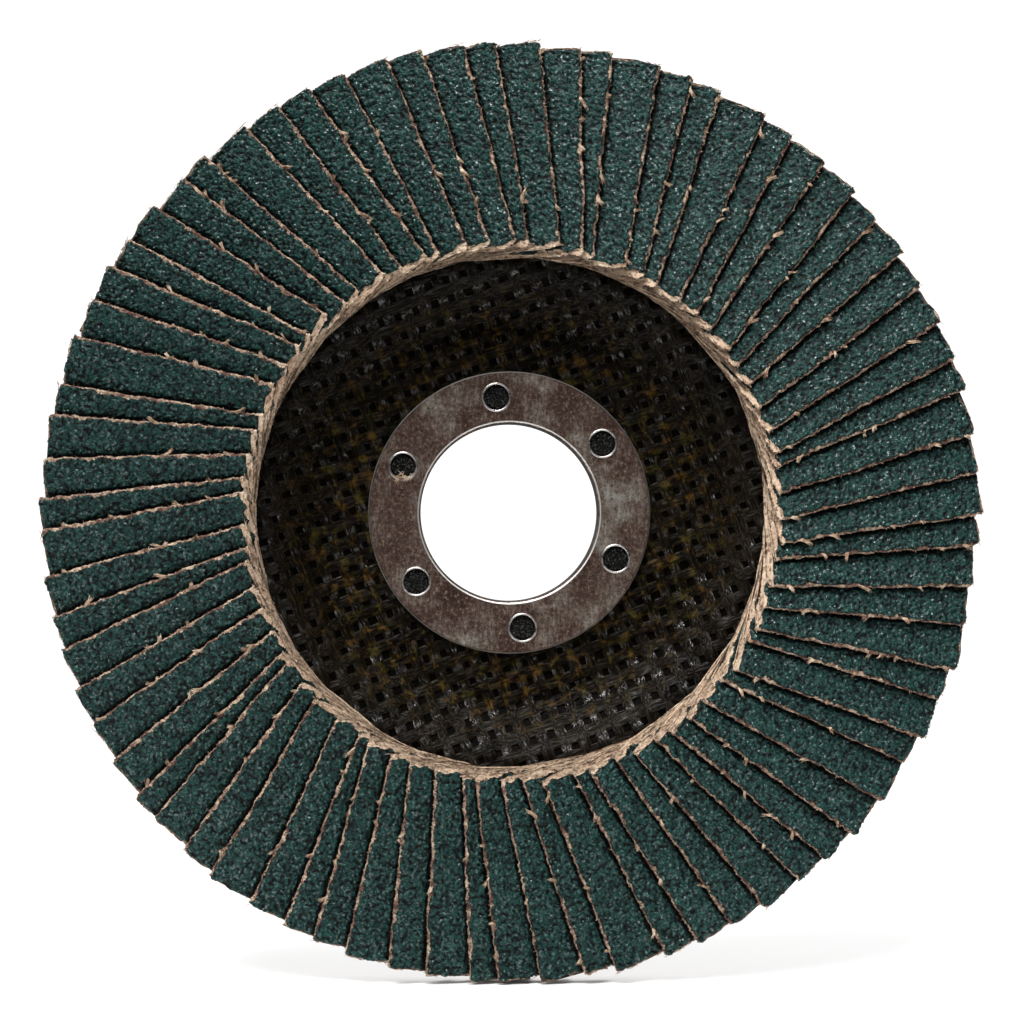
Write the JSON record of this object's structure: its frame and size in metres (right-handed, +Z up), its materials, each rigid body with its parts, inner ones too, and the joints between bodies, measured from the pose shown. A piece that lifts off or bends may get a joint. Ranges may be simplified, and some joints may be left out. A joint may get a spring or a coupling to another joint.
{
  "type": "abrasive flap disc",
  "caption": "Round flap disc: overlapping green abrasive cloth flaps bonded to a depressed-centre woven glass-fibre plate with a steel-bushed bore.",
  "frame": {"origin": "centre of the bore, in the plane of the rear seat that rests on the grinder's flange", "axes": "+Y along the bore's axis towards the grinder, so the abrasive face looks along -Y; +Z up with the disc standing on its edge; +X to the right when the abrasive face is looked at"},
  "size_m": [0.1148, 0.0153, 0.1148],
  "materials": {
    "coated_cloth": "dark green abrasive grain on tan cloth, coarse and slightly sparkling",
    "glass_resin": "black resin over open woven glass mesh, semi-gloss with amber thin spots",
    "steel": "dull zinc-plated pressed steel, scratched",
    "adhesive": "cured amber-brown epoxy",
    "label_paper": "plain pressed paper, slightly soiled"
  },
  "bodies": {
    "root": {"adhesive_bed": "adhesive", "flaps_01_to_03": "coated_cloth", "flaps_04_to_06": "coated_cloth", "flaps_07_to_09": "coated_cloth", "flaps_10_to_12": "coated_cloth", "flaps_13_to_15": "coated_cloth", "flaps_16_to_18": "coated_cloth", "flaps_19_to_21": "coated_cloth", "flaps_22_to_24": "coated_cloth", "flaps_25_to_27": "coated_cloth", "flaps_28_to_30": "coated_cloth", "flaps_31_to_33": "coated_cloth", "flaps_34_to_36": "coated_cloth", "flaps_37_to_39": "coated_cloth", "flaps_40_to_42": "coated_cloth", "flaps_43_to_45": "coated_cloth", "flaps_46_to_48": "coated_cloth", "flaps_49_to_51": "coated_cloth", "flaps_52_to_54": "coated_cloth", "flaps_55_to_57": "coated_cloth", "flaps_58_to_60": "coated_cloth", "flaps_61_to_63": "coated_cloth", "flaps_64_to_66": "coated_cloth", "flaps_67_to_69": "coated_cloth", "flaps_70_to_72": "coated_cloth", "flaps_73_to_75": "coated_cloth", "glass_ply_front": "glass_resin", "glass_ply_inner_front": "glass_resin", "glass_ply_inner_rear": "glass_resin", "glass_ply_rear": "glass_resin", "rear_label": "label_paper", "steel_bushing": "steel"}
  },
  "joints": []
}
